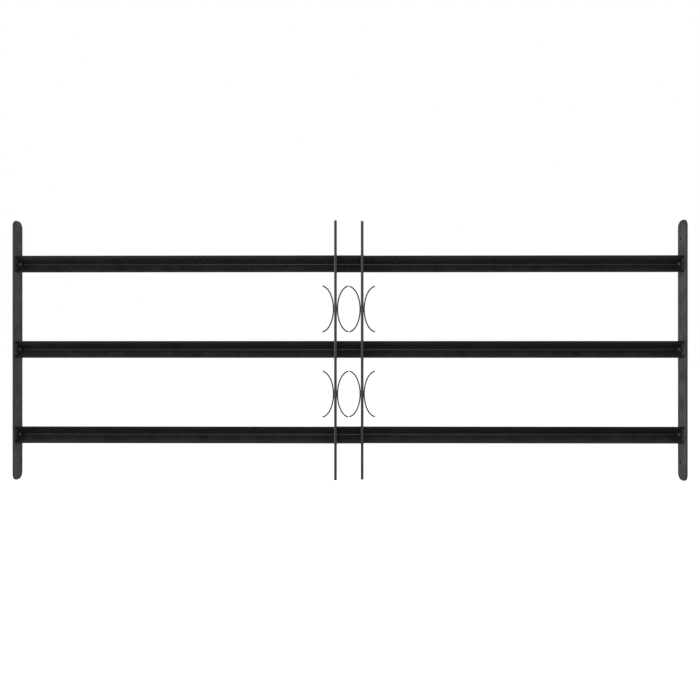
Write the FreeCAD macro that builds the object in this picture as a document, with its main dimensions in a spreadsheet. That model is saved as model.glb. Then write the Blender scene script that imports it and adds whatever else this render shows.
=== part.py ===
"""Adjustable window security bar: two welded steel halves that slide in each other.

Each half is a flat wall strip, three angle bars standing on edge as a V, a tie rod with four
scrolls and three guide plates.  The left half's angles lie in front, and the right half's
nest behind them.  A guide plate at each free end wraps the other half's angle, and a grub
screw in a nut behind each rear angle locks the width.

Frame: +Z up, +X along the bars, the open side of the angles faces -Y.  The origin is the
middle of the left strip's wall face.  Millimetres.
"""
import FreeCAD, Part
import os

import Sketcher

doc = FreeCAD.newDocument("window_security_bar")

# ---- driving dimensions -------------------------------------------------------------
SIZES = {
    "width_open": (1158, "wall face to wall face, fully extended"),
    "strip_long": (450, "wall strip height"),
    "strip_wide": (30, "wall strip width, front to back"),
    "strip_thick": (3, "wall strip thickness"),
    "strip_round": (0.5, "wall strip edge rounding"),
    "end_round": (12, "wall strip corner radius"),
    "hole_bore": (6.2, "fixing hole"),
    "hole_end": (31, "fixing hole centre from the strip's end"),
    "hole_back": (6, "fixing hole centre behind the strip's centreline"),
    "leg_wide": (20.7, "angle bar leg"),
    "leg_thick": (2, "angle bar wall"),
    "bend_inside": (2, "angle bar inside bend radius"),
    "lip_round": (0.2, "angle bar lip rounding"),
    "lip_back": (2.8, "front lips behind the strips' front edge"),
    "nest_gap": (0.4, "air between nested angles, square to the leg"),
    "bar_pitch": (147.4, "angle bar spacing"),
    "bar_rise": (1.4, "middle bar above the strip's middle"),
    "rod_bore": (4.7, "tie rod diameter"),
    "rod_long": (443, "tie rod length"),
    "rod_gap": (45.6, "tie rod spacing when fully extended"),
    "rod_right": (0.35, "tie rods' middle, right of the strips' middle"),
    "rod_step": (6, "right half's tie rod in front of the left half's"),
    "rod_chamfer": (0.6, "tie rod end chamfer"),
    "wire_bore": (2.3, "scroll wire diameter"),
    "scroll_wide": (20.6, "scroll ellipse, half width"),
    "scroll_tall": (39.2, "scroll ellipse, half height"),
    "scroll_turn": (84, "scroll sweep each way from the rod, degrees"),
    "scroll_pitch": (145.4, "upper scrolls to lower scrolls"),
    "scroll_drop": (2.2, "scrolls below the strip's middle"),
    "plate_thick": (4, "guide plate thickness"),
    "plate_wall": (4, "guide plate wall round the slot"),
    "plate_nose": (3.5, "guide plate rear flat, half height"),
    "plate_round": (2, "guide plate corner radius"),
    "tongue_round": (2.6, "guide plate tongue radius, inside the angle's bend"),
    "nut_flats": (10, "lock nut across flats"),
    "nut_deep": (7.5, "lock nut depth behind the bar's bend"),
    "nut_bore": (6.1, "lock nut bore"),
    "nut_stop": (1.5, "lock nut to guide plate when fully extended"),
    "screw_bore": (6, "lock screw diameter"),
    "screw_long": (12, "lock screw length"),
    "screw_key": (3, "lock screw socket across flats"),
    "screw_clear": (0.1, "lock screw point to the front angle"),
    "pass_bore": (6.6, "screw hole in the rear angle"),
}
sheet = doc.addObject("Spreadsheet::Sheet", "Sizes")
for row, (alias, (value, meaning)) in enumerate(SIZES.items(), start=1):
    sheet.set(f"A{row}", meaning)
    sheet.set(f"B{row}", str(value))
    sheet.setAlias(f"B{row}", alias)
doc.recompute()


def size(name):
    """The formula that reads one driving dimension."""
    return f"Sizes.{name}"


def root(text):
    """A 45 degree component of a length."""
    return f"(({text}) / sqrt(2))"


# ---- positions worked out from the driving dimensions ---------------------------------
LEG, WALL, GAP = size("leg_wide"), size("leg_thick"), size("nest_gap")
MIDDLE = f"{size('width_open')} / 2 + {size('rod_right')}"
LIP_FRONT = f"({size('lip_back')} - {size('strip_wide')} / 2)"
FRONT_BEND = f"({LIP_FRONT} + {root(LEG + ' + ' + WALL)})"
REAR_BEND = f"({FRONT_BEND} + ({WALL} + {GAP}) * sqrt(2))"
LEFT_ROD_Y = f"({LIP_FRONT} - {size('rod_bore')} / 2)"
RIGHT_ROD_Y = f"({LEFT_ROD_Y} - {size('rod_step')})"
# Fully extended, the left half's rod stands to the right of the right half's.
LEFT_ROD_X = f"({MIDDLE} + {size('rod_gap')} / 2)"
RIGHT_ROD_X = f"({MIDDLE} - {size('rod_gap')} / 2)"
LEFT_BAR_LONG = f"({LEFT_ROD_X} - {size('plate_thick')} / 2 - {size('strip_thick')})"
RIGHT_BAR_X = f"({RIGHT_ROD_X} + {size('plate_thick')} / 2)"
RIGHT_BAR_LONG = f"({size('width_open')} - {size('strip_thick')} - {RIGHT_BAR_X})"
# Rounding the outside of the bend brings its back forward by this much.
BEND_LOSS = f"(({size('bend_inside')} + {WALL}) * (sqrt(2) - 1))"
NUT_X = (f"({LEFT_ROD_X} - {size('plate_thick')} / 2 - {size('nut_stop')}"
         f" - {size('nut_flats')} / sqrt(3))")

BAR_HEIGHTS = {"top": f"({size('bar_rise')} + {size('bar_pitch')})",
               "middle": f"({size('bar_rise')})",
               "bottom": f"({size('bar_rise')} - {size('bar_pitch')})"}
SCROLL_HEIGHTS = {"upper": f"({size('scroll_pitch')} / 2 - {size('scroll_drop')})",
                  "lower": f"(-{size('scroll_pitch')} / 2 - {size('scroll_drop')})"}

sub_parts = []


def keep(part, label, x="0", y="0", z="0"):
    """Name a finished sub-part and put it in its place."""
    part.Label = label
    for axis, text in zip("xyz", (x, y, z)):
        part.setExpression(f"Placement.Base.{axis}", text)
    sub_parts.append(part)
    return part


# ---- sketch and body helpers ------------------------------------------------------------
def new_sketch(body, role, name):
    """A sketch on one of the body's own origin planes."""
    plane = next(f for f in body.Origin.OriginFeatures if f.Role == role)
    sketch = body.newObject("Sketcher::SketchObject", name)
    sketch.AttachmentSupport = [(plane, "")]
    sketch.MapMode = "FlatFace"
    return sketch


def drive(sketch, constraint, label, text):
    """Add a dimension to a sketch and bind it to a formula."""
    index = sketch.addConstraint(constraint)
    sketch.renameConstraint(index, label)
    sketch.setExpression(f"Constraints.{label}", text)


def pin(sketch, edge, end, label, across, along):
    """Fix an edge's end point at formulas across and along the sketch's axes."""
    point = sketch.getPoint(edge, end)
    for kind, axis, text, value in (("DistanceX", -2, across, point.x),
                                    ("DistanceY", -1, along, point.y)):
        if text == "0":
            sketch.addConstraint(Sketcher.Constraint("PointOnObject", edge, end, axis))
        else:
            drive(sketch, Sketcher.Constraint(kind, -1, 1, edge, end, value),
                  f"{label}_{kind[-1]}", text)


def value_of(text):
    """The number that a formula gives."""
    return float(sheet.evalExpression(text))


def outline(sketch, label, corners):
    """A closed polygon whose corners are pairs of formulas."""
    points = [FreeCAD.Vector(value_of(u), value_of(v), 0) for u, v in corners]
    ends = points[1:] + points[:1]
    edges = [sketch.addGeometry(Part.LineSegment(a, b)) for a, b in zip(points, ends)]
    for edge, following in zip(edges, edges[1:] + edges[:1]):
        sketch.addConstraint(Sketcher.Constraint("Coincident", edge, 2, following, 1))
    for number, (edge, (u, v)) in enumerate(zip(edges, corners)):
        pin(sketch, edge, 1, f"{label}{number}", u, v)


def hole_circle(sketch, label, across, along, diameter):
    """A driven circle."""
    centre = FreeCAD.Vector(value_of(across), value_of(along), 0)
    up = FreeCAD.Vector(0, 0, 1)
    edge = sketch.addGeometry(Part.Circle(centre, up, value_of(diameter) / 2))
    pin(sketch, edge, 3, label, across, along)
    drive(sketch, Sketcher.Constraint("Diameter", edge, value_of(diameter)),
          f"{label}_bore", diameter)


def pad(body, sketch, length, midplane=False):
    """Pad a sketch to a driven length."""
    feature = body.newObject("PartDesign::Pad", "Pad")
    feature.Profile = sketch
    feature.Midplane = midplane
    feature.setExpression("Length", length)
    doc.recompute()
    return feature


def soften(body, kind, radius, chosen):
    """Fillet or chamfer the edges of the body's tip that a test picks."""
    base = body.Tip
    names = [f"Edge{n}" for n, edge in enumerate(base.Shape.Edges, start=1) if chosen(edge)]
    if not names:
        raise RuntimeError(f"{body.Name}: no edge to soften")
    feature = body.newObject(f"PartDesign::{kind}", kind)
    feature.Base = (base, names)
    feature.setExpression("Radius" if kind == "Fillet" else "Size", radius)
    doc.recompute()


def runs_along(edge, direction):
    """True when a straight edge is parallel to a direction."""
    if not isinstance(edge.Curve, Part.Line):
        return False
    return abs(abs(edge.tangentAt(edge.FirstParameter).dot(direction)) - 1) < 1e-6


X_AXIS = FreeCAD.Vector(1, 0, 0)


def v_section(bend, gap):
    """Corners of the V section with its bend at a formula, grown all round by a gap."""
    lip = root(f"{LEG} - {WALL}")
    tip = root(f"{LEG} + 2 * ({gap})")
    outer_lip = f"{bend} - {root(LEG)}"
    inner_lip = f"{bend} - {root(f'{LEG} + {WALL} + 2 * ({gap})')}"
    outer_bend = f"{bend} + ({gap}) * sqrt(2)"
    inner_bend = f"{bend} - ({WALL} + {gap}) * sqrt(2)"
    return [(outer_bend, "0"), (outer_lip, tip), (inner_lip, lip),
            (inner_bend, "0"), (inner_lip, f"-{lip}"), (outer_lip, f"-{tip}")]


# ---- the sub-parts ----------------------------------------------------------------------
def wall_strip(label, x):
    """Flat strip with rounded corners and a fixing hole near each end."""
    body = doc.addObject("PartDesign::Body", label)
    sketch = new_sketch(body, "YZ_Plane", "StripOutline")
    half_wide = f"{size('strip_wide')} / 2"
    half_long = f"{size('strip_long')} / 2"
    outline(sketch, "corner", [(half_wide, half_long), (f"-{half_wide}", half_long),
                               (f"-{half_wide}", f"-{half_long}"), (half_wide, f"-{half_long}")])
    pad(body, sketch, size("strip_thick"))
    soften(body, "Fillet", size("end_round"), lambda edge: runs_along(edge, X_AXIS))
    soften(body, "Fillet", size("strip_round"), lambda edge: not runs_along(edge, X_AXIS))

    bore = new_sketch(body, "YZ_Plane", "FixingHole")
    height = f"{half_long} - {size('hole_end')}"
    hole_circle(bore, "hole", size("hole_back"), height, size("hole_bore"))
    pocket = body.newObject("PartDesign::Pocket", "FixingPocket")
    pocket.Profile = bore
    pocket.Type = "ThroughAll"
    pocket.Midplane = True
    doc.recompute()
    pair = body.newObject("PartDesign::Mirrored", "LowerHole")
    pair.Originals = [pocket]
    level = next(f for f in body.Origin.OriginFeatures if f.Role == "XY_Plane")
    pair.MirrorPlane = (level, [""])
    body.Tip = pair
    doc.recompute()
    keep(body, label, x=x)


def angle_bar(label, x, long, bend, z, screw_hole):
    """Bent angle bar on edge as a V, open to the front."""
    body = doc.addObject("PartDesign::Body", label)
    sketch = new_sketch(body, "YZ_Plane", "AngleSection")
    outline(sketch, "corner", v_section("0", "0"))
    solid = pad(body, sketch, long)
    along_bar = [e for e in solid.Shape.Edges if runs_along(e, X_AXIS)]
    back = max(e.CenterOfMass.y for e in along_bar)
    tall = value_of(root(LEG)) / 2

    def is_at(edge, depth):
        return (runs_along(edge, X_AXIS) and abs(edge.CenterOfMass.z) < 0.01
                and abs(edge.CenterOfMass.y - depth) < 0.01)

    inside = back - value_of(f"{WALL} * sqrt(2)")
    soften(body, "Fillet", size("bend_inside"), lambda edge: is_at(edge, inside))
    soften(body, "Fillet", f"{size('bend_inside')} + {WALL}", lambda edge: is_at(edge, back))
    soften(body, "Fillet", size("lip_round"),
           lambda edge: runs_along(edge, X_AXIS) and abs(edge.CenterOfMass.z) > tall)
    if screw_hole:
        bore = new_sketch(body, "XZ_Plane", "ScrewHole")
        away = f"{NUT_X} - {x}"
        hole_circle(bore, "hole", away, "0", size("pass_bore"))
        pocket = body.newObject("PartDesign::Pocket", "ScrewPocket")
        pocket.Profile = bore
        pocket.Type = "ThroughAll"
        pocket.Midplane = True
        doc.recompute()
    keep(body, label, x=x, y=bend, z=z)


def tie_rod(label, x, y):
    """Round upright across the free ends of one half."""
    body = doc.addObject("PartDesign::Body", label)
    sketch = new_sketch(body, "XY_Plane", "RodSection")
    hole_circle(sketch, "rod", "0", "0", size("rod_bore"))
    pad(body, sketch, size("rod_long"), midplane=True)
    soften(body, "Chamfer", size("rod_chamfer"), lambda edge: isinstance(edge.Curve, Part.Circle))
    keep(body, label, x=x, y=y)


def scroll(label, x, y, z, side):
    """Half-ellipse of wire that touches a tie rod in its middle and bows away from it."""
    arc = doc.addObject("Part::Ellipse", f"{label}_line")
    arc.setExpression("MajorRadius", size("scroll_tall"))
    arc.setExpression("MinorRadius", size("scroll_wide"))
    arc.Angle1 = 90
    arc.setExpression("Angle2", f"90 + {size('scroll_turn')}")
    ring = doc.addObject("Part::Circle", f"{label}_section")
    ring.setExpression("Radius", f"{size('wire_bore')} / 2")
    ring.Placement.Rotation = FreeCAD.Rotation(FreeCAD.Vector(0, 1, 0), -90)
    ring.setExpression("Placement.Base.y", size("scroll_wide"))
    doc.recompute()
    half = doc.addObject("Part::Sweep", f"{label}_half")
    half.Sections = [ring]
    half.Spine = (arc, ["Edge1"])
    half.Solid = True
    other = doc.addObject("Part::Mirroring", f"{label}_other_half")
    other.Source = half
    other.Normal = FreeCAD.Vector(1, 0, 0)
    whole = doc.addObject("Part::Fuse", label)
    whole.Base = half
    whole.Tool = other
    doc.recompute()
    # The ellipse's long axis turns upright, and its touching side towards the rod.
    upright = FreeCAD.Rotation(FreeCAD.Vector(0, 0, -side), FreeCAD.Vector(-side, 0, 0),
                               FreeCAD.Vector(0, 0, 0), "ZXY")
    whole.Placement = FreeCAD.Placement(FreeCAD.Vector(), upright)
    reach = f"({size('rod_bore')} + {size('wire_bore')}) / 2 + {size('scroll_wide')}"
    keep(whole, label, x=f"{x} + ({side}) * ({reach})", y=y, z=z)


def guide_plate(label, x, bend, front, z):
    """Plate across a free end, slotted for the other half's angle bar to slide in."""
    body = doc.addObject("PartDesign::Body", label)
    sketch = new_sketch(body, "YZ_Plane", "PlateOutline")
    rear = f"{bend} + ({GAP} + {size('plate_wall')}) * sqrt(2)"
    tall = f"({root(f'{LEG} + 2 * {GAP}')} + {size('plate_wall')})"
    nose = size("plate_nose")
    outline(sketch, "edge", [(front, tall), (f"{rear} - {tall}", tall),
                             (f"{rear} - {nose}", nose), (f"{rear} - {nose}", f"-{nose}"),
                             (f"{rear} - {tall}", f"-{tall}"), (front, f"-{tall}")])
    outline(sketch, "slot", v_section(bend, GAP))
    pad(body, sketch, size("plate_thick"), midplane=True)
    half_tall = value_of(tall)
    deep = value_of(f"{rear} - {nose}")
    tongue = value_of(f"{bend} - ({WALL} + {GAP}) * sqrt(2)")

    def is_corner(edge):
        if not runs_along(edge, X_AXIS):
            return False
        place = edge.CenterOfMass
        return abs(abs(place.z) - half_tall) < 0.01 or abs(place.y - deep) < 0.01

    def is_tongue(edge):
        place = edge.CenterOfMass
        return (runs_along(edge, X_AXIS) and abs(place.z) < 0.01
                and abs(place.y - tongue) < 0.01)

    soften(body, "Fillet", size("plate_round"), is_corner)
    soften(body, "Fillet", size("tongue_round"), is_tongue)
    keep(body, label, x=x, z=z)


def lock_nut(label, z):
    """Hexagon nut with a V seat, welded over the screw hole behind a rear angle."""
    blank = doc.addObject("Part::Prism", f"{label}_blank")
    blank.Polygon = 6
    blank.setExpression("Circumradius", f"{size('nut_flats')} / sqrt(3)")
    blank.setExpression("Height", f"{size('nut_deep')} + {root(size('nut_flats'))}")
    bore = doc.addObject("Part::Cylinder", f"{label}_bore")
    bore.setExpression("Radius", f"{size('nut_bore')} / 2")
    bore.setExpression("Height", f"{size('nut_deep')} + {root(size('nut_flats'))}")
    drilled = doc.addObject("Part::Cut", f"{label}_drilled")
    drilled.Base = blank
    drilled.Tool = bore
    # The seat is a square bar on edge; the prism's height runs back from inside it.
    backwards = FreeCAD.Rotation(FreeCAD.Vector(1, 0, 0), -90)
    drilled.Placement = FreeCAD.Placement(FreeCAD.Vector(), backwards)
    drilled.setExpression("Placement.Base.y", f"-{root(size('nut_flats'))}")
    seat = doc.addObject("Part::Box", f"{label}_seat")
    for side in ("Length", "Width", "Height"):
        seat.setExpression(side, f"2 * {size('nut_flats')}")
    on_edge = FreeCAD.Rotation(FreeCAD.Vector(1, 0, 0), 135)
    seat.Placement = FreeCAD.Placement(FreeCAD.Vector(), on_edge)
    seat.setExpression("Placement.Base.x", f"-{size('nut_flats')}")
    nut = doc.addObject("Part::Cut", label)
    nut.Base = drilled
    nut.Tool = seat
    doc.recompute()
    keep(nut, label, x=NUT_X, y=REAR_BEND, z=z)


def lock_screw(label, z):
    """Grub screw with a flat cone point and a hexagon socket, along the bore's axis."""
    body = doc.addObject("PartDesign::Body", label)
    sketch = new_sketch(body, "XY_Plane", "ScrewSection")
    hole_circle(sketch, "screw", "0", "0", size("screw_bore"))
    solid = pad(body, sketch, size("screw_long"))
    soften(body, "Chamfer", f"{size('screw_bore')} / 5",
           lambda edge: isinstance(edge.Curve, Part.Circle) and edge.CenterOfMass.z < 0.01)
    socket = new_sketch(body, "XY_Plane", "Socket")
    corner = f"{size('screw_key')} / sqrt(3)"
    flat = f"{size('screw_key')} / 2"
    half = f"{size('screw_key')} / sqrt(12)"
    outline(socket, "key", [(corner, "0"), (half, flat), (f"-{half}", flat),
                            (f"-{corner}", "0"), (f"-{half}", f"-{flat}"),
                            (half, f"-{flat}")])
    socket.setExpression("AttachmentOffset.Base.z", size("screw_long"))
    pocket = body.newObject("PartDesign::Pocket", "SocketPocket")
    pocket.Profile = socket
    pocket.setExpression("Length", size("screw_key"))
    doc.recompute()
    if pocket.Shape.Volume >= solid.Shape.Volume - 1:
        raise RuntimeError(f"{label}: the socket cuts nothing")
    body.Placement = FreeCAD.Placement(FreeCAD.Vector(),
                                       FreeCAD.Rotation(FreeCAD.Vector(1, 0, 0), -90))
    keep(body, label, x=NUT_X, y=f"{FRONT_BEND} - {BEND_LOSS} + {size('screw_clear')}", z=z)


# ---- the two halves ----------------------------------------------------------------------
wall_strip("left_wall_strip", "0")
wall_strip("right_wall_strip", f"{size('width_open')} - {size('strip_thick')}")
tie_rod("left_half_rod", LEFT_ROD_X, LEFT_ROD_Y)
tie_rod("right_half_rod", RIGHT_ROD_X, RIGHT_ROD_Y)

RIGHT_PLATE_FRONT = f"{RIGHT_ROD_Y} + {size('rod_bore')} / 2"
for level, height in BAR_HEIGHTS.items():
    angle_bar(f"front_angle_{level}", size("strip_thick"), LEFT_BAR_LONG, FRONT_BEND, height,
              False)
    angle_bar(f"rear_angle_{level}", RIGHT_BAR_X, RIGHT_BAR_LONG, REAR_BEND, height, True)
    guide_plate(f"left_half_guide_{level}", LEFT_ROD_X, REAR_BEND, LIP_FRONT, height)
    guide_plate(f"right_half_guide_{level}", RIGHT_ROD_X, FRONT_BEND, RIGHT_PLATE_FRONT, height)
    lock_nut(f"lock_nut_{level}", height)
    lock_screw(f"lock_screw_{level}", height)

for level, height in SCROLL_HEIGHTS.items():
    for side, hand in ((-1, "left"), (1, "right")):
        scroll(f"left_half_scroll_{level}_{hand}", LEFT_ROD_X, LEFT_ROD_Y, height, side)
        scroll(f"right_half_scroll_{level}_{hand}", RIGHT_ROD_X, RIGHT_ROD_Y, height, side)

# ---- checks and files -----------------------------------------------------------------------
doc.recompute()
faulty = [o.Name for o in doc.Objects if {"Invalid", "Error"} & set(o.State)]
if faulty:
    raise RuntimeError(f"failed features: {faulty}")
os.makedirs("parts", exist_ok=True)
for part in sub_parts:
    shape = part.Shape
    if shape.isNull() or not shape.isValid() or len(shape.Solids) != 1:
        raise RuntimeError(f"{part.Label}: bad shape")
    shape.exportStep(f"parts/{part.Label}.step")
    box = shape.BoundBox
    print(f"{part.Label:32s} {shape.Volume:10.1f} mm3  x {box.XMin:8.2f} {box.XMax:8.2f}"
          f"  y {box.YMin:7.2f} {box.YMax:7.2f}  z {box.ZMin:8.2f} {box.ZMax:8.2f}")
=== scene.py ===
"""Looks of the extending window security bar: black powder coat, weld beads and the studio."""

import math

import bmesh
import bpy
from bpy.props import FloatProperty, FloatVectorProperty, IntProperty, PointerProperty
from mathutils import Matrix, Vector


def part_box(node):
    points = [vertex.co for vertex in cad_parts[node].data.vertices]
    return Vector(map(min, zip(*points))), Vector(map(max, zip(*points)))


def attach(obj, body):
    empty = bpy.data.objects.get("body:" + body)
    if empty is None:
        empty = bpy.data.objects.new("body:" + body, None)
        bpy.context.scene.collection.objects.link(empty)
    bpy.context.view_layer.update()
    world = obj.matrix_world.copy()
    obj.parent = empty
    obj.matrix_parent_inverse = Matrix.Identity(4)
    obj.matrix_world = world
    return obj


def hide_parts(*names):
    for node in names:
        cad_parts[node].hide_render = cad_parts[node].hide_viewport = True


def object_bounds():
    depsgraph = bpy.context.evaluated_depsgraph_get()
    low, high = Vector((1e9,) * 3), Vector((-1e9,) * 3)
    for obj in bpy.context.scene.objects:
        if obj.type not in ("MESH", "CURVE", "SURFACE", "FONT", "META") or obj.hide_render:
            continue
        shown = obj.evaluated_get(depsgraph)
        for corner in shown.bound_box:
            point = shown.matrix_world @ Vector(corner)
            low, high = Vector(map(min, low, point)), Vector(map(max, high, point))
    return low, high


bl_info = {
    "name": "Extending window security bar",
    "version": (1, 0, 0),
    "blender": (4, 5, 0),
    "location": "View3D > Sidebar > Window bar",
    "description": "Coats a packed window bar, welds it together and sets up its studio",
    "category": "Object",
}

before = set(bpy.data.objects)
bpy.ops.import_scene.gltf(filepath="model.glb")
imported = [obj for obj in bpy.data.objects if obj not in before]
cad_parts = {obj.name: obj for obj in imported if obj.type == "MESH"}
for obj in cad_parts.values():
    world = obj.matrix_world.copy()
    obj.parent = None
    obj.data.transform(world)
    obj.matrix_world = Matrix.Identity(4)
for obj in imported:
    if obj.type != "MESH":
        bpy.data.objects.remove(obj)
CAD_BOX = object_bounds()

LEVELS = ("top", "middle", "bottom")
HALVES = ("left", "right")
SCROLL_ROWS = ("upper", "lower")
# Points nearer than this are one, in metres.
MERGE_DISTANCE = 1e-7
# The shared effects by a short name, filled by build_groups.
GROUPS = {}


# ---- settings -------------------------------------------------------------------------------
class BarCoatSettings(bpy.types.PropertyGroup):
    """The powder coat on every welded piece."""
    colour: FloatVectorProperty(
        name="Coat colour", description="Colour of the cured powder",
        subtype="COLOR", size=3, min=0, max=1, default=(0.0062, 0.0062, 0.0066))
    thin_colour: FloatVectorProperty(
        name="Thin coat colour", description="Colour where the powder lies thin",
        subtype="COLOR", size=3, min=0, max=1, default=(0.013, 0.0128, 0.013))
    dust_colour: FloatVectorProperty(
        name="Dust colour", description="Dust that settles on upward faces",
        subtype="COLOR", size=3, min=0, max=1, default=(0.16, 0.152, 0.14))
    gloss: FloatProperty(
        name="Roughness", description="Roughness of the satin surface",
        subtype="FACTOR", min=0, max=1, default=0.44)
    peel_pitch: FloatProperty(
        name="Orange peel pitch", description="Width of one ripple of the coat",
        unit="LENGTH", min=0.0002, default=0.0014)
    peel_depth: FloatProperty(
        name="Orange peel depth", description="Height of the coat's ripples",
        unit="LENGTH", min=0, default=0.000035)
    speck_pitch: FloatProperty(
        name="Grain pitch", description="Width of the powder's fine grain",
        unit="LENGTH", min=0.0001, default=0.00035)
    dust: FloatProperty(
        name="Dust", description="How much dust lies on upward faces",
        subtype="FACTOR", min=0, max=1, default=0.16)
    rub: FloatProperty(
        name="Rub marks", description="Sliding marks on the angle bars",
        subtype="FACTOR", min=0, max=1, default=0.35)
    rub_colour: FloatVectorProperty(
        name="Rub colour", description="Colour of the sliding marks",
        subtype="COLOR", size=3, min=0, max=1, default=(0.06, 0.06, 0.062))
    lines: FloatProperty(
        name="Drawn lines", description="How far the stock's lines show through the coat",
        subtype="FACTOR", min=0, max=1, default=0.6)
    line_depth: FloatProperty(
        name="Line depth", description="Height of those lines",
        unit="LENGTH", min=0, default=0.00001)
    edge: FloatProperty(
        name="Thin edges", description="How much of an edge shows a thin coat",
        subtype="FACTOR", min=0, max=1, default=0.5)
    edge_width: FloatProperty(
        name="Edge width", description="How far a thin coat reaches from an edge",
        unit="LENGTH", min=0, default=0.0006)
    # This colour serves the thin coat on edges and also the painted sheen that pale lays on broad
    # faces and welds.
    edge_and_sheen_colour: FloatVectorProperty(
        name="Edge colour", description="Colour of the coat drawn thin over an edge",
        subtype="COLOR", size=3, min=0, max=1, default=(0.05, 0.05, 0.052))


class BarSectionSettings(bpy.types.PropertyGroup):
    """Sizes of the bar stock that the welds follow."""
    wall: FloatProperty(
        name="Angle wall", description="Thickness of the angle bars",
        unit="LENGTH", default=0.002)
    bend: FloatProperty(
        name="Inside bend", description="Inside bend radius of the angle bars",
        unit="LENGTH", default=0.002)


class BarWeldSettings(bpy.types.PropertyGroup):
    """The weld beads."""
    strip_bead: FloatProperty(
        name="Strip bead", description="Half width of the bead between bar and wall strip",
        unit="LENGTH", default=0.0018)
    strip_run: FloatProperty(
        name="Strip bead reach", description="How far the inside bead runs up and down each leg",
        unit="LENGTH", default=0.0105)
    guide_bead: FloatProperty(
        name="Guide bead", description="Half width of the bead round a guide plate",
        unit="LENGTH", default=0.0013)
    nugget: FloatProperty(
        name="Bend weld", description="Half width of the weld pool in the bend of a bar's end",
        unit="LENGTH", default=0.0046)
    nugget_run: FloatProperty(
        name="Bend weld length", description="How far that pool reaches along the bend",
        unit="LENGTH", default=0.0075)
    scroll_bead: FloatProperty(
        name="Scroll bead", description="Half width of the bead between scroll and rod",
        unit="LENGTH", default=0.0008)
    scroll_run: FloatProperty(
        name="Scroll bead length", description="Length of the bead between scroll and rod",
        unit="LENGTH", default=0.010)
    ripple: FloatProperty(
        name="Ripple pitch", description="Distance between the bead's ripples",
        unit="LENGTH", default=0.0013)
    ripple_depth: FloatProperty(
        name="Ripple depth", description="Height of the bead's ripples",
        unit="LENGTH", min=0, default=0.00015)
    unevenness: FloatProperty(
        name="Unevenness", description="Lumps of a bead, as a share of its half width",
        subtype="FACTOR", min=0, max=1, default=0.5)
    step: FloatProperty(
        name="Bead step", description="Length of one step along a bead",
        unit="LENGTH", default=0.00033)
    seed: IntProperty(name="Seed", description="Seed of the bead's unevenness", default=7)


class BarScrewSettings(bpy.types.PropertyGroup):
    """The lock screws' thread."""
    pitch: FloatProperty(
        name="Thread pitch", description="Distance between two turns",
        unit="LENGTH", default=0.001)
    depth: FloatProperty(
        name="Thread depth", description="Depth of the thread", unit="LENGTH", default=0.0006)
    socket: FloatProperty(
        name="Socket", description="Socket across flats", unit="LENGTH", default=0.003)
    socket_deep: FloatProperty(
        name="Socket depth", description="Depth of the socket", unit="LENGTH", default=0.003)


class BarStudioSettings(bpy.types.PropertyGroup):
    """Camera, floor and light."""
    distance: FloatProperty(
        name="Camera distance", description="Camera to the middle of the bar",
        unit="LENGTH", default=1.1816)
    turn: FloatProperty(
        name="Camera azimuth", description="Camera's angle round the bar",
        subtype="ANGLE", default=math.radians(0.5))
    aim_right: FloatProperty(
        name="Aim right", description="Aim point right of the bar's middle",
        unit="LENGTH", default=0.0022)
    aim_up: FloatProperty(
        name="Aim up", description="Aim point above the wall strips' middle",
        unit="LENGTH", default=0.0004)
    lens: FloatProperty(
        name="Lens", description="Focal length in millimetres", default=35.0)
    floor_drop: FloatProperty(
        name="Floor", description="Floor below the bar", unit="LENGTH", default=0.34)
    floor_glow: FloatProperty(
        name="Floor glow", description="Light that the floor shows to the camera only",
        min=0, default=0.8)
    surround: FloatProperty(
        name="Surround", description="Light that comes from all round", min=0, default=0.44)
    key_power: FloatProperty(
        name="Key light", description="Power of the light on the left, in watts", default=74.0)
    fill_power: FloatProperty(
        name="Fill light", description="Power of the light on the right, in watts",
        default=27.0)
    front_power: FloatProperty(
        name="Front light", description="Power of the light in front, in watts", default=12.0)
    light_size: FloatProperty(
        name="Light size", description="Side of each square light",
        unit="LENGTH", default=1.6)


def settings(name):
    """One of the groups of settings above."""
    return getattr(bpy.context.scene, f"window_bar_{name}")


# ---- shader helpers -------------------------------------------------------------------------
def add_node(tree, kind, inputs=None, **options):
    """Add a node with its options and plain input values."""
    node = tree.nodes.new(kind)
    for key, value in options.items():
        setattr(node, key, value)
    for key, value in (inputs or {}).items():
        node.inputs[key].default_value = value
    return node


def new_group(name, kind, inputs, outputs):
    """A node group with named sockets, and its input and output nodes."""
    tree = bpy.data.node_groups.new(name, kind)
    for label, socket, value in inputs:
        made = tree.interface.new_socket(label, in_out="INPUT", socket_type=socket)
        if value is not None:
            made.default_value = value
    for label, socket in outputs:
        tree.interface.new_socket(label, in_out="OUTPUT", socket_type=socket)
    return tree, tree.nodes.new("NodeGroupInput"), tree.nodes.new("NodeGroupOutput")


def join(tree, source, target):
    """Link two sockets."""
    tree.links.new(source, target)


def arithmetic(tree, operation, first, second=None, third=None):
    """A Math node on sockets or numbers; returns its output."""
    node = tree.nodes.new("ShaderNodeMath")
    node.operation = operation
    for index, value in enumerate((first, second, third)):
        if isinstance(value, bpy.types.NodeSocket):
            tree.links.new(value, node.inputs[index])
        elif value is not None:
            node.inputs[index].default_value = value
    return node.outputs[0]


def noise_of(tree, vector, scale, detail):
    """A noise texture's value; scale is a socket or a number."""
    noise = add_node(tree, "ShaderNodeTexNoise", {"Detail": detail})
    tree.links.new(vector, noise.inputs["Vector"])
    if isinstance(scale, bpy.types.NodeSocket):
        tree.links.new(scale, noise.inputs["Scale"])
    else:
        noise.inputs["Scale"].default_value = scale
    return noise.outputs["Fac"]


def remap(tree, value, low, high):
    """Stretch a value so that low becomes 0 and high becomes 1, clamped."""
    node = add_node(tree, "ShaderNodeMapRange", {"From Min": low, "From Max": high}, clamp=True)
    tree.links.new(value, node.inputs["Value"])
    return node.outputs["Result"]


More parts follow.
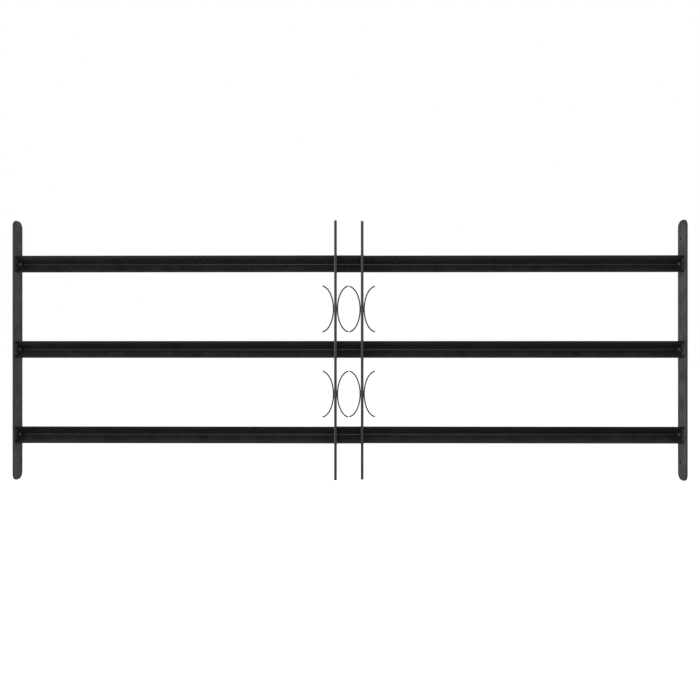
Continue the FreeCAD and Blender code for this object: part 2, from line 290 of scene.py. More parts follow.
# ---- shared effects -------------------------------------------------------------------------
def coat_grain_group():
    """Orange peel and fine grain of a cured powder coat, in slow cloudy patches."""
    patches_per_metre, grain_in_height, grain_in_tone, patch_gloss = 38.0, 0.22, 0.45, 0.16
    tree, start, end = new_group(
        "Coat grain", "ShaderNodeTree",
        [("Vector", "NodeSocketVector", None), ("Peel pitch", "NodeSocketFloat", 0.0014),
         ("Peel depth", "NodeSocketFloat", 0.00003), ("Grain pitch", "NodeSocketFloat", 0.00035)],
        [("Height", "NodeSocketFloat"), ("Tone", "NodeSocketFloat"),
         ("Gloss shift", "NodeSocketFloat")])
    peel_scale = arithmetic(tree, "DIVIDE", 1.0, start.outputs["Peel pitch"])
    grain_scale = arithmetic(tree, "DIVIDE", 1.0, start.outputs["Grain pitch"])
    peel = noise_of(tree, start.outputs["Vector"], peel_scale, 1.5)
    grain = noise_of(tree, start.outputs["Vector"], grain_scale, 2.0)
    cloud = noise_of(tree, start.outputs["Vector"], patches_per_metre, 3.0)
    fine = arithmetic(tree, "MULTIPLY", grain, grain_in_height)
    both = arithmetic(tree, "ADD", peel, fine)
    height = arithmetic(tree, "MULTIPLY", both, start.outputs["Peel depth"])
    join(tree, height, end.inputs["Height"])
    tone = arithmetic(tree, "MULTIPLY_ADD", grain, grain_in_tone,
                      arithmetic(tree, "MULTIPLY", cloud, 1 - grain_in_tone))
    join(tree, remap(tree, tone, 0.35, 0.68), end.inputs["Tone"])
    shift = arithmetic(tree, "SUBTRACT", cloud, 0.5)
    join(tree, arithmetic(tree, "MULTIPLY", shift, patch_gloss), end.inputs["Gloss shift"])
    return tree


def dust_group():
    """Dust that lies on upward faces, in patches."""
    patches_per_metre, specks_per_metre, speck_share = 60.0, 1400.0, 0.6
    tree, start, end = new_group(
        "Settled dust", "ShaderNodeTree",
        [("Vector", "NodeSocketVector", None), ("Amount", "NodeSocketFloat", 0.2)],
        [("Mask", "NodeSocketFloat")])
    geometry = tree.nodes.new("ShaderNodeNewGeometry")
    split = tree.nodes.new("ShaderNodeSeparateXYZ")
    join(tree, geometry.outputs["Normal"], split.inputs[0])
    upward = remap(tree, split.outputs["Z"], 0.25, 1.0)
    patches = noise_of(tree, start.outputs["Vector"], patches_per_metre, 5.0)
    specks = noise_of(tree, start.outputs["Vector"], specks_per_metre, 1.0)
    patch = remap(tree, patches, 0.32, 0.7)
    speck = remap(tree, specks, 0.42, 0.66)
    spread = arithmetic(tree, "MULTIPLY_ADD", speck, speck_share, 1 - speck_share)
    mask = arithmetic(tree, "MULTIPLY", arithmetic(tree, "MULTIPLY", patch, spread), upward)
    join(tree, arithmetic(tree, "MULTIPLY", mask, start.outputs["Amount"]), end.inputs["Mask"])
    return tree


def rub_group():
    """Fine marks along X where one half slides on the other.

    The mappings' scales are the marks per metre along and across the bar.
    """
    tree, start, end = new_group(
        "Rub marks", "ShaderNodeTree",
        [("Vector", "NodeSocketVector", None), ("Amount", "NodeSocketFloat", 0.3)],
        [("Mask", "NodeSocketFloat")])
    stretch = add_node(tree, "ShaderNodeMapping", {"Scale": (9.0, 1700.0, 1700.0)})
    join(tree, start.outputs["Vector"], stretch.inputs["Vector"])
    lines = noise_of(tree, stretch.outputs["Vector"], 1.0, 2.0)
    broad = add_node(tree, "ShaderNodeMapping", {"Scale": (4.0, 90.0, 90.0)})
    join(tree, start.outputs["Vector"], broad.inputs["Vector"])
    where = noise_of(tree, broad.outputs["Vector"], 1.0, 2.0)
    mask = arithmetic(tree, "MULTIPLY", remap(tree, lines, 0.6, 0.72),
                      remap(tree, where, 0.46, 0.62))
    join(tree, arithmetic(tree, "MULTIPLY", mask, start.outputs["Amount"]), end.inputs["Mask"])
    return tree


def drawn_lines_group():
    """Faint lines that the rolled stock shows through the coat, along the vector's X."""
    fine_share = 0.6
    tree, start, end = new_group(
        "Drawn lines", "ShaderNodeTree",
        [("Vector", "NodeSocketVector", None), ("Amount", "NodeSocketFloat", 0.5)],
        [("Mask", "NodeSocketFloat"), ("Height", "NodeSocketFloat")])
    fine = add_node(tree, "ShaderNodeMapping", {"Scale": (5.0, 1000.0, 1000.0)})
    broad = add_node(tree, "ShaderNodeMapping", {"Scale": (2.0, 260.0, 260.0)})
    for node in (fine, broad):
        join(tree, start.outputs["Vector"], node.inputs["Vector"])
    fine_lines = noise_of(tree, fine.outputs["Vector"], 1.0, 2.0)
    broad_lines = noise_of(tree, broad.outputs["Vector"], 1.0, 1.0)
    both = arithmetic(tree, "MULTIPLY_ADD", fine_lines, fine_share,
                      arithmetic(tree, "MULTIPLY", broad_lines, 1 - fine_share))
    join(tree, arithmetic(tree, "MULTIPLY", remap(tree, both, 0.38, 0.62),
                          start.outputs["Amount"]), end.inputs["Mask"])
    join(tree, arithmetic(tree, "MULTIPLY", fine_lines, start.outputs["Amount"]),
         end.inputs["Height"])
    return tree


def edge_group():
    """Where the coat has drawn back from an edge, broken up by noise."""
    patches_per_metre = 170.0
    tree, start, end = new_group(
        "Thin edges", "ShaderNodeTree",
        [("Vector", "NodeSocketVector", None), ("Width", "NodeSocketFloat", 0.0006),
         ("Amount", "NodeSocketFloat", 0.5)],
        [("Mask", "NodeSocketFloat")])
    bevel = tree.nodes.new("ShaderNodeBevel")
    bevel.samples = 4
    join(tree, start.outputs["Width"], bevel.inputs["Radius"])
    geometry = tree.nodes.new("ShaderNodeNewGeometry")
    dot = add_node(tree, "ShaderNodeVectorMath", operation="DOT_PRODUCT")
    join(tree, bevel.outputs["Normal"], dot.inputs[0])
    join(tree, geometry.outputs["Normal"], dot.inputs[1])
    bend = arithmetic(tree, "SUBTRACT", 1.0, dot.outputs["Value"])
    patches = noise_of(tree, start.outputs["Vector"], patches_per_metre, 4.0)
    broken = arithmetic(tree, "MULTIPLY", remap(tree, bend, 0.03, 0.2),
                        remap(tree, patches, 0.42, 0.62))
    join(tree, arithmetic(tree, "MULTIPLY", broken, start.outputs["Amount"]), end.inputs["Mask"])
    return tree


def place_group(tree, group, values):
    """Put a node group in a material with its own values."""
    node = tree.nodes.new("ShaderNodeGroup")
    node.node_tree = group
    for label, value in values.items():
        node.inputs[label].default_value = value
    return node


def mix_colour(tree, mask, first, second):
    """Blend two colours, each a socket or an RGB value, by a mask."""
    node = tree.nodes.new("ShaderNodeMix")
    node.data_type = "RGBA"
    tree.links.new(mask, node.inputs[0])
    for index, value in ((6, first), (7, second)):
        if isinstance(value, bpy.types.NodeSocket):
            tree.links.new(value, node.inputs[index])
        else:
            node.inputs[index].default_value = (*value, 1.0)
    return node.outputs[2]


def broad_faces(tree):
    """Mask of the faces that look along X, such as a wall strip's two broad ones."""
    split = tree.nodes.new("ShaderNodeSeparateXYZ")
    join(tree, tree.nodes.new("ShaderNodeNewGeometry").outputs["Normal"], split.inputs[0])
    return remap(tree, arithmetic(tree, "ABSOLUTE", split.outputs["X"]), 0.6, 0.95)


def coat_material(name, roughness_shift=0.0, peel=1.0, rub=0.0, lines=0.0, pale=0.0,
                  upright=False):
    """Satin black powder coat; peel, rub and lines scale the shared effects, and pale paints a
    sheen on it.

    On an upright piece the painted sheen lies on its broad faces only.
    """
    tone_share, mark_gloss, dust_dullness, resin_ior = 0.4, -0.25, 0.6, 1.46
    coat = settings("coat")
    material = bpy.data.materials.new(name)
    material.use_nodes = True
    tree = material.node_tree
    shader = tree.nodes["Principled BSDF"]
    shader.inputs["IOR"].default_value = resin_ior
    vector = tree.nodes.new("ShaderNodeTexCoord").outputs["Object"]
    grain = place_group(tree, GROUPS["grain"], {
        "Peel pitch": coat.peel_pitch, "Peel depth": coat.peel_depth * peel,
        "Grain pitch": coat.speck_pitch})
    fallen = place_group(tree, GROUPS["dust"], {"Amount": coat.dust})
    edges = place_group(tree, GROUPS["edges"], {"Width": coat.edge_width, "Amount": coat.edge})
    for node in (grain, fallen, edges):
        join(tree, vector, node.inputs["Vector"])
    # The stock's own lines run along the piece.
    turn = (0.0, math.pi / 2, 0.0) if upright else (0.0, 0.0, 0.0)
    along = add_node(tree, "ShaderNodeMapping", {"Rotation": turn})
    join(tree, vector, along.inputs["Vector"])
    marks = place_group(tree, GROUPS["rub"], {"Amount": coat.rub * rub})
    drawn = place_group(tree, GROUPS["lines"], {"Amount": coat.lines * lines})
    for node in (marks, drawn):
        join(tree, along.outputs["Vector"], node.inputs["Vector"])
    thin = arithmetic(tree, "MULTIPLY_ADD", grain.outputs["Tone"], tone_share,
                      drawn.outputs["Mask"])
    colour = mix_colour(tree, thin, tuple(coat.colour), tuple(coat.thin_colour))
    # Painted sheen: pale lifts the colour towards the edge colour in the grain's patches, standing
    # in for the surround's reflection.
    painted_sheen = arithmetic(tree, "MULTIPLY", grain.outputs["Tone"], 2 * pale)
    if upright:
        painted_sheen = arithmetic(tree, "MULTIPLY", painted_sheen, broad_faces(tree))
    # One mask for the thin coat on edges and the painted sheen, both drawn in the edge colour.
    thin_edge_and_sheen = arithmetic(tree, "MAXIMUM", edges.outputs["Mask"], painted_sheen)
    edge_and_sheen_coloured = mix_colour(tree, thin_edge_and_sheen, colour, tuple(coat.edge_and_sheen_colour))
    rubbed = mix_colour(tree, marks.outputs["Mask"], edge_and_sheen_coloured, tuple(coat.rub_colour))
    dusty = mix_colour(tree, fallen.outputs["Mask"], rubbed, tuple(coat.dust_colour))
    join(tree, dusty, shader.inputs["Base Color"])
    rough = arithmetic(tree, "ADD", grain.outputs["Gloss shift"], coat.gloss + roughness_shift)
    smoother = arithmetic(tree, "MULTIPLY_ADD", marks.outputs["Mask"], mark_gloss, rough)
    duller = arithmetic(tree, "MULTIPLY_ADD", fallen.outputs["Mask"], dust_dullness, smoother)
    join(tree, arithmetic(tree, "MINIMUM", duller, 1.0), shader.inputs["Roughness"])
    bump = add_node(tree, "ShaderNodeBump", {"Strength": 1.0, "Distance": 1.0})
    height = arithmetic(tree, "MULTIPLY_ADD", drawn.outputs["Height"], coat.line_depth,
                        grain.outputs["Height"])
    join(tree, height, bump.inputs["Height"])
    join(tree, bump.outputs["Normal"], shader.inputs["Normal"])
    return material


def screw_material():
    """Blackened steel with a patchy patina."""
    dark, pale = (0.045, 0.045, 0.048), (0.14, 0.135, 0.13)
    patches_per_metre, gloss, patch_gloss, patina_height = 900.0, 0.22, 0.3, 0.00001
    material = bpy.data.materials.new("Blackened steel")
    material.use_nodes = True
    tree = material.node_tree
    shader = tree.nodes["Principled BSDF"]
    shader.inputs["Metallic"].default_value = 1.0
    vector = tree.nodes.new("ShaderNodeTexCoord").outputs["Object"]
    patina = noise_of(tree, vector, patches_per_metre, 4.0)
    colour = mix_colour(tree, remap(tree, patina, 0.35, 0.7), dark, pale)
    join(tree, colour, shader.inputs["Base Color"])
    rough = arithmetic(tree, "MULTIPLY_ADD", patina, patch_gloss, gloss)
    join(tree, rough, shader.inputs["Roughness"])
    bump = add_node(tree, "ShaderNodeBump", {"Strength": 1.0, "Distance": patina_height})
    join(tree, patina, bump.inputs["Height"])
    join(tree, bump.outputs["Normal"], shader.inputs["Normal"])
    return material


def build_groups():
    """Make the shared effects once."""
    GROUPS["grain"] = coat_grain_group()
    GROUPS["dust"] = dust_group()
    GROUPS["rub"] = rub_group()
    GROUPS["lines"] = drawn_lines_group()
    GROUPS["edges"] = edge_group()


def finish_nodes(names, material):
    """Give a material to carried-over pieces."""
    for name in names:
        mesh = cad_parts[name].data
        mesh.materials.clear()
        mesh.materials.append(material)


# ---- weld beads -----------------------------------------------------------------------------
def weld_tree():
    """Geometry nodes that lay a rippled bead along every line of a wire mesh.

    The lines carry their half width as the point attribute bead_half_width.
    """
    wanders_per_metre, lumps_per_metre, blunt_end, ripple_shape, sides = 420.0, 420.0, 0.1, 0.6, 12
    tree, start, end = new_group(
        "Weld bead", "GeometryNodeTree",
        [("Geometry", "NodeSocketGeometry", None), ("Step", "NodeSocketFloat", 0.0004),
         ("Ripple pitch", "NodeSocketFloat", 0.0013), ("Ripple depth", "NodeSocketFloat", 0.00015),
         ("Unevenness", "NodeSocketFloat", 0.3), ("Seed", "NodeSocketInt", 7),
         ("Material", "NodeSocketMaterial", None)],
        [("Geometry", "NodeSocketGeometry")])
    lines = tree.nodes.new("GeometryNodeMeshToCurve")
    join(tree, start.outputs["Geometry"], lines.inputs["Mesh"])
    steps = tree.nodes.new("GeometryNodeResampleCurve")
    steps.mode = "LENGTH"
    join(tree, lines.outputs["Curve"], steps.inputs["Curve"])
    join(tree, start.outputs["Step"], steps.inputs["Length"])

    width = add_node(tree, "GeometryNodeInputNamedAttribute", {"Name": "bead_half_width"},
                     data_type="FLOAT").outputs["Attribute"]
    along = tree.nodes.new("GeometryNodeSplineParameter").outputs["Length"]
    whole = tree.nodes.new("GeometryNodeSplineLength").outputs["Length"]
    # The bead rises from nothing and dies away over its own half width.
    left = arithmetic(tree, "SUBTRACT", whole, along)
    nearest = arithmetic(tree, "MINIMUM", along, left)
    climb = arithmetic(tree, "MULTIPLY_ADD", arithmetic(tree, "DIVIDE", nearest, width),
                       1 - blunt_end, blunt_end)
    capped = arithmetic(tree, "MINIMUM", climb, 1.0)
    short = arithmetic(tree, "SUBTRACT", 1.0, capped)
    rise = arithmetic(tree, "SQRT", arithmetic(
        tree, "SUBTRACT", 1.0, arithmetic(tree, "MULTIPLY", short, short)))
    position = tree.nodes.new("GeometryNodeInputPosition").outputs[0]
    wander = noise_of(tree, position, wanders_per_metre, 1.0)
    turns = arithmetic(tree, "DIVIDE", along, start.outputs["Ripple pitch"])
    phase = arithmetic(tree, "ADD", turns, wander)
    saw = arithmetic(tree, "POWER", arithmetic(tree, "FRACT", phase), ripple_shape)
    dip = arithmetic(tree, "MULTIPLY", arithmetic(tree, "SUBTRACT", 1.0, saw),
                     start.outputs["Ripple depth"])
    scale = arithmetic(tree, "MULTIPLY", arithmetic(tree, "SUBTRACT", width, dip), rise)

    ring = add_node(tree, "GeometryNodeCurvePrimitiveCircle",
                    {"Resolution": sides, "Radius": 1.0})
    bead = tree.nodes.new("GeometryNodeCurveToMesh")
    bead.inputs["Fill Caps"].default_value = True
    join(tree, steps.outputs["Curve"], bead.inputs["Curve"])
    join(tree, ring.outputs["Curve"], bead.inputs["Profile Curve"])
    join(tree, scale, bead.inputs["Scale"])

    lumps = add_node(tree, "ShaderNodeTexNoise", {"Scale": lumps_per_metre, "Detail": 2.0},
                     noise_dimensions="4D")
    join(tree, start.outputs["Seed"], lumps.inputs["W"])
    normal = tree.nodes.new("GeometryNodeInputNormal").outputs["Normal"]
    share = arithmetic(tree, "MULTIPLY", arithmetic(tree, "SUBTRACT", lumps.outputs["Fac"], 0.5),
                       start.outputs["Unevenness"])
    push = arithmetic(tree, "MULTIPLY", share, width)
    offset = add_node(tree, "ShaderNodeVectorMath", operation="SCALE")
    join(tree, normal, offset.inputs[0])
    join(tree, push, offset.inputs["Scale"])
    moved = tree.nodes.new("GeometryNodeSetPosition")
    join(tree, bead.outputs["Mesh"], moved.inputs["Geometry"])
    join(tree, offset.outputs[0], moved.inputs["Offset"])
    smooth = tree.nodes.new("GeometryNodeSetShadeSmooth")
    join(tree, moved.outputs["Geometry"], smooth.inputs["Geometry"])
    real = tree.nodes.new("GeometryNodeRealizeInstances")
    join(tree, smooth.outputs["Geometry"], real.inputs["Geometry"])
    paint = tree.nodes.new("GeometryNodeSetMaterial")
    join(tree, real.outputs["Geometry"], paint.inputs["Geometry"])
    join(tree, start.outputs["Material"], paint.inputs["Material"])
    join(tree, paint.outputs["Geometry"], end.inputs["Geometry"])
    return tree


def set_input(modifier, label, value):
    """Set a geometry nodes input by the identifier of its named socket."""
    for item in modifier.node_group.interface.items_tree:
        if item.item_type == "SOCKET" and item.in_out == "INPUT" and item.name == label:
            modifier[item.identifier] = value
            return
    raise KeyError(label)


def plain_mesh(source, name):
    """Turn an object with live modifiers into a plain object, and remove the source."""
    bpy.context.view_layer.update()
    evaluated = source.evaluated_get(bpy.context.evaluated_depsgraph_get())
    mesh = bpy.data.meshes.new_from_object(evaluated)
    bpy.data.objects.remove(source)
    mesh.name = name
    piece = bpy.data.objects.new(name, mesh)
    bpy.context.scene.collection.objects.link(piece)
    return piece


def lay_beads(name, lines, body, material):
    """Weld beads along lines, each (half width, points), as one piece that rides on a body."""
    welds = settings("welds")
    points, edges, widths = [], [], []
    for half_width, route in lines:
        first = len(points)
        points.extend(route)
        widths.extend([half_width] * len(route))
        edges.extend((n, n + 1) for n in range(first, len(points) - 1))
    mesh = bpy.data.meshes.new(f"{name}_lines")
    mesh.from_pydata(points, edges, [])
    attribute = mesh.attributes.new("bead_half_width", "FLOAT", "POINT")
    attribute.data.foreach_set("value", widths)
    source = bpy.data.objects.new(f"{name}_lines", mesh)
    bpy.context.scene.collection.objects.link(source)
    modifier = source.modifiers.new("Weld bead", "NODES")
    modifier.node_group = bpy.data.node_groups.get("Weld bead") or weld_tree()
    set_input(modifier, "Step", welds.step)
    set_input(modifier, "Ripple pitch", welds.ripple)
    set_input(modifier, "Ripple depth", welds.ripple_depth)
    set_input(modifier, "Unevenness", welds.unevenness)
    set_input(modifier, "Seed", welds.seed)
    set_input(modifier, "Material", material)
    piece = plain_mesh(source, name)
    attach(piece, body)
    return piece


class Section:
    """The V section of one angle bar, found from its node's box."""

    def __init__(self, node):
        stock = settings("section")
        low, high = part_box(node)
        self.left, self.right = low.x, high.x
        self.middle = (low.z + high.z) / 2
        self.reach = (high.z - low.z) / 2
        outside = stock.bend + stock.wall
        self.outer = high.y + outside * (math.sqrt(2) - 1)
        self.inner = self.outer - stock.wall * math.sqrt(2)
        self.inner_reach = self.reach - stock.wall / math.sqrt(2)
        self.inner_bend, self.outer_bend = stock.bend, outside

    def line(self, x, inside, run, off=0.0):
        """Points along the V at x, out to run above and below; off moves them off the face."""
        corner, radius = (self.inner, self.inner_bend) if inside else (self.outer, self.outer_bend)
        side = -1 if inside else 1
        corner += side * off * math.sqrt(2)
        radius += side * off
        tangent = radius / math.sqrt(2)
        centre = corner - radius * math.sqrt(2)
        arc = [(centre + radius * math.cos(angle), radius * math.sin(angle))
               for angle in (math.radians(a) for a in range(-45, 46, 15))]
        down = (corner - run, -run)
        up = (corner - run, run)
        points = [down, *[p for p in arc if tangent < run], up]
        return [(x, y, self.middle + z) for y, z in points]


# ---- threads --------------------------------------------------------------------------------
def thread_mesh(name, low, high, pitch, depth, socket, socket_deep):
    """A grub screw along Y between two corners: flat point first, socket at the far end."""
    sides, steps_per_turn = 36, 6
    point_share, point_flat, point_rim, drill_share, crest_sharpness = 0.4, 0.55, 0.6, 1.15, 1.5
    radius = (high.x - low.x) / 2
    centre_x, centre_z = (low.x + high.x) / 2, (low.z + high.z) / 2
    length = high.y - low.y
    point = radius * point_share
    rings = round(length / pitch * steps_per_turn)
    verts, faces = [], []

    def ring(depth_along, radii):
        """Add one ring of points and return its first number."""
        start = len(verts)
        for side in range(sides):
            angle = 2 * math.pi * side / sides
            verts.append((centre_x + radii[side] * math.cos(angle), low.y + depth_along,
                          centre_z + radii[side] * math.sin(angle)))
        return start

    def bridge(first, second):
        """Add the faces between two rings."""
        for side in range(sides):
            after = (side + 1) % sides
            faces.append((first + side, second + side, second + after, first + after))

    def thread_radius(depth_along, side):
        """The thread's radius at a depth and a side, less near both ends."""
        turn = (depth_along / pitch - side / sides) % 1.0
        crest = 1 - abs(2 * turn - 1)
        root = radius - depth * (1 - min(crest * crest_sharpness, 1.0))
        ends = min(depth_along, length - depth_along) / point
        return root if ends >= 1 else min(root, radius * (point_rim + (1 - point_rim) * ends))

    # The hexagon socket's radius at each side's angle.
    flats = [socket / 2 / math.cos((2 * math.pi * s / sides + math.pi / 6) % (math.pi / 3)
                                   - math.pi / 6) for s in range(sides)]
    previous = ring(0.0, [radius * point_flat] * sides)
    faces.append(tuple(previous + s for s in range(sides)))
    for number in range(rings + 1):
        along = length * number / rings
        current = ring(along, [thread_radius(along, s) for s in range(sides)])
        bridge(previous, current)
        previous = current
    for along in (length, length - socket_deep):
        current = ring(along, flats)
        bridge(previous, current)
        previous = current
    tip = len(verts)
    verts.append((centre_x, low.y + length - socket_deep * drill_share, centre_z))
    faces.extend((previous + s, tip, previous + (s + 1) % sides) for s in range(sides))
    mesh = bpy.data.meshes.new(name)
    mesh.from_pydata(verts, [], faces)
    mesh.validate()
    return mesh


def turn_outwards(mesh):
    """Make every face of a closed mesh point outwards."""
    work = bmesh.new()
    work.from_mesh(mesh)
    bmesh.ops.remove_doubles(work, verts=work.verts, dist=MERGE_DISTANCE)
    bmesh.ops.recalc_face_normals(work, faces=work.faces)
    work.to_mesh(mesh)
    work.free()


# ---- operators ------------------------------------------------------------------------------
class WINDOWBAR_OT_wall_strips(bpy.types.Operator):
    """Powder coat on the two wall strips, with a painted sheen on their broad faces"""
    bl_idname = "window_bar.wall_strips"
    bl_label = "Wall strips"

    def execute(self, context):
        # pale=0.75 paints a sheen on the strips' broad faces: a lighter colour standing in for the
        # surround they reflect at a slant.
        material = coat_material("Coat on wall strips", roughness_shift=0.08, lines=0.5,
                                 pale=0.75, upright=True)
        finish_nodes([f"{half}_wall_strip" for half in HALVES], material)
        return {"FINISHED"}


class WINDOWBAR_OT_angle_bars(bpy.types.Operator):
    """Powder coat with sliding marks on the nested angle bars"""
    bl_idname = "window_bar.angle_bars"
    bl_label = "Angle bars"

    def execute(self, context):
        front = coat_material("Coat on front angles", roughness_shift=-0.16, rub=0.25,
                              lines=1.0)
        rear = coat_material("Coat on rear angles", roughness_shift=-0.14, rub=1.0, lines=1.0)
        finish_nodes([f"front_angle_{level}" for level in LEVELS], front)
        finish_nodes([f"rear_angle_{level}" for level in LEVELS], rear)
        return {"FINISHED"}


class WINDOWBAR_OT_tie_rods(bpy.types.Operator):
    """Powder coat on the upright tie rods"""
    bl_idname = "window_bar.tie_rods"
    bl_label = "Tie rods"

    def execute(self, context):
        material = coat_material("Coat on tie rods", roughness_shift=-0.03, peel=0.7, lines=0.4,
                                 upright=True)
        finish_nodes([f"{half}_half_rod" for half in HALVES], material)
        return {"FINISHED"}


class WINDOWBAR_OT_scrolls(bpy.types.Operator):
    """Powder coat on the wire scrolls"""
    bl_idname = "window_bar.scrolls"
    bl_label = "Scrolls"

    def execute(self, context):
        material = coat_material("Coat on scrolls", peel=0.5)
        finish_nodes([f"{half}_half_scroll_{row}_{side}" for half in HALVES
                      for row in SCROLL_ROWS for side in HALVES], material)
        return {"FINISHED"}


class WINDOWBAR_OT_guides(bpy.types.Operator):
    """Powder coat on the guide plates and lock nuts"""
    bl_idname = "window_bar.guides"
    bl_label = "Guide plates and nuts"

    def execute(self, context):
        material = coat_material("Coat on guides and nuts", roughness_shift=0.04, peel=0.8, rub=0.6)
        plates = [f"{half}_half_guide_{level}" for half in HALVES for level in LEVELS]
        finish_nodes(plates + [f"lock_nut_{level}" for level in LEVELS], material)
        return {"FINISHED"}


class WINDOWBAR_OT_screws(bpy.types.Operator):
    """Threaded grub screws in place of the plain lock screws"""
    bl_idname = "window_bar.screws"
    bl_label = "Lock screws"

    def execute(self, context):
        sizes = settings("screws")
        material = screw_material()
        for level in LEVELS:
            node = f"lock_screw_{level}"
            low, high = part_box(node)
            mesh = thread_mesh(f"threaded_{node}", low, high, sizes.pitch, sizes.depth,
                               sizes.socket, sizes.socket_deep)
            turn_outwards(mesh)
            mesh.materials.append(material)
            piece = bpy.data.objects.new(f"threaded_{node}", mesh)
            context.scene.collection.objects.link(piece)
            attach(piece, f"{node}_body")
            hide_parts(node)
        return {"FINISHED"}


# Where the beads lie, in metres.
STRIP_LIP_AIR = 0.001
PLATE_INSIDE_LIP_AIR = 0.002
PLATE_OUTSIDE_LIP_AIR = 0.0015
PLATE_END_AIR = 0.003
ROD_BEAD_ASIDE = 0.0016
ROD_BEAD_SUNK = 0.0004
NUT_BEAD_PROUD = 0.0002
# Half widths as a share of the settings' beads.
INSIDE_STRIP_BEAD = 1.25
ROD_BEAD = 0.75
NUT_BEAD = 0.9
# How far the bend weld stands off the bend, as a share of its half width.
POOL_STANDS_OFF = 0.62
# How far aside and in front a scroll bead lies, as a share of the rod's radius.
SCROLL_BEAD_ASIDE = 0.97
SCROLL_BEAD_FRONT = 0.32


def strip_welds(half, bars):
    """Beads where one half's bars meet its wall strip.

    Each bar has a pool in its bend, a short bead inside and a long one behind.
    """
    welds = settings("welds")
    lines = []
    for node in bars:
        section = Section(node)
        x, inward = (section.left, 1) if half == "left" else (section.right, -1)
        bend_y = section.inner - section.inner_bend * (math.sqrt(2) - 1)
        pool_y = bend_y - welds.nugget * POOL_STANDS_OFF
        lines.append((welds.nugget, [(x, pool_y, section.middle),
                                     (x + inward * welds.nugget_run, pool_y, section.middle)]))
        lines.append((welds.strip_bead * INSIDE_STRIP_BEAD,
                      section.line(x, True, welds.strip_run)))
        lines.append((welds.strip_bead,
                      section.line(x, False, section.reach - STRIP_LIP_AIR)))
    return lines


def guide_welds(half, bars):
    """Beads between bar ends, guide plates and the tie rod at one half's free end."""
    welds = settings("welds")
    rod_low, rod_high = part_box(f"{half}_half_rod")
    rod_x, rod_back = (rod_low.x + rod_high.x) / 2, rod_high.y
    lines = []
    for level, node in zip(LEVELS, bars):
        section = Section(node)
        plate_low, plate_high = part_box(f"{half}_half_guide_{level}")
        if half == "left":
            run = section.inner_reach - PLATE_INSIDE_LIP_AIR
            lines.append((welds.guide_bead, section.line(plate_low.x, True, run)))
        else:
            run = section.reach - PLATE_OUTSIDE_LIP_AIR
            lines.append((welds.guide_bead, section.line(plate_high.x, False, run)))
        half_tall = (plate_high.z - plate_low.z) / 2 - PLATE_END_AIR
        for side in (-1, 1):
            x = rod_x + side * ROD_BEAD_ASIDE
            lines.append((welds.guide_bead * ROD_BEAD,
                          [(x, rod_back - ROD_BEAD_SUNK, section.middle + z)
                           for z in (-half_tall, half_tall)]))
    return lines


def scroll_welds(half):
    """Short beads in front of and behind the touch of each scroll and its rod."""
    welds = settings("welds")
    rod_low, rod_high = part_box(f"{half}_half_rod")
    rod_x, rod_y = (rod_low.x + rod_high.x) / 2, (rod_low.y + rod_high.y) / 2
    rod_radius = (rod_high.x - rod_low.x) / 2
    lines = []
    for row in SCROLL_ROWS:
        for side, name in ((-1, "left"), (1, "right")):
            low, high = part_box(f"{half}_half_scroll_{row}_{name}")
            middle = (low.z + high.z) / 2
            for face in (-1, 1):
                x = rod_x + side * rod_radius * SCROLL_BEAD_ASIDE
                y = rod_y + face * rod_radius * SCROLL_BEAD_FRONT
                lines.append((welds.scroll_bead,
                              [(x, y, middle + z * welds.scroll_run / 2) for z in (-1, 1)]))
    return lines


def nut_welds():
    """Beads along the upper and lower flats of each lock nut."""
    welds = settings("welds")
    lines = []
    for level in LEVELS:
        low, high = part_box(f"lock_nut_{level}")
        section = Section(f"rear_angle_{level}")
        half_tall = (high.z - low.z) / 2
        run = (high.x - low.x) / 4
        middle = (low.x + high.x) / 2
        for side in (-1, 1):
            z = section.middle + side * (half_tall + NUT_BEAD_PROUD)
            y = section.outer - half_tall + NUT_BEAD_PROUD
            lines.append((welds.guide_bead * NUT_BEAD,
                          [(middle - run, y, z), (middle + run, y, z)]))
    return lines


class WINDOWBAR_OT_welds(bpy.types.Operator):
    """Weld beads at the strips, guide plates, scrolls and nuts"""
    bl_idname = "window_bar.welds"
    bl_label = "Weld beads"

    def execute(self, context):
        # pale=0.2 paints a faint sheen on the beads: a lighter colour standing in for the light
        # they catch.
        material = coat_material("Coat on welds", peel=0.5, pale=0.2)
        for half, kind in (("left", "front"), ("right", "rear")):
            body = f"{half}_half"
            bars = [f"{kind}_angle_{level}" for level in LEVELS]
            lay_beads(f"{body}_strip_welds", strip_welds(half, bars), body, material)
            lay_beads(f"{body}_guide_welds", guide_welds(half, bars), body, material)
            lay_beads(f"{body}_scroll_welds", scroll_welds(half), body, material)
        lay_beads("right_half_nut_welds", nut_welds(), "right_half", material)
        return {"FINISHED"}


def soft_light(name, place, aim, size, power):
    """A square area light at a place, turned to its aim."""
    data = bpy.data.lights.new(name, "AREA")
    data.size = size
    data.energy = power
    lamp = bpy.data.objects.new(name, data)
    bpy.context.scene.collection.objects.link(lamp)
    lamp.location = place
    lamp.rotation_euler = (aim - place).to_track_quat("-Z", "Y").to_euler()


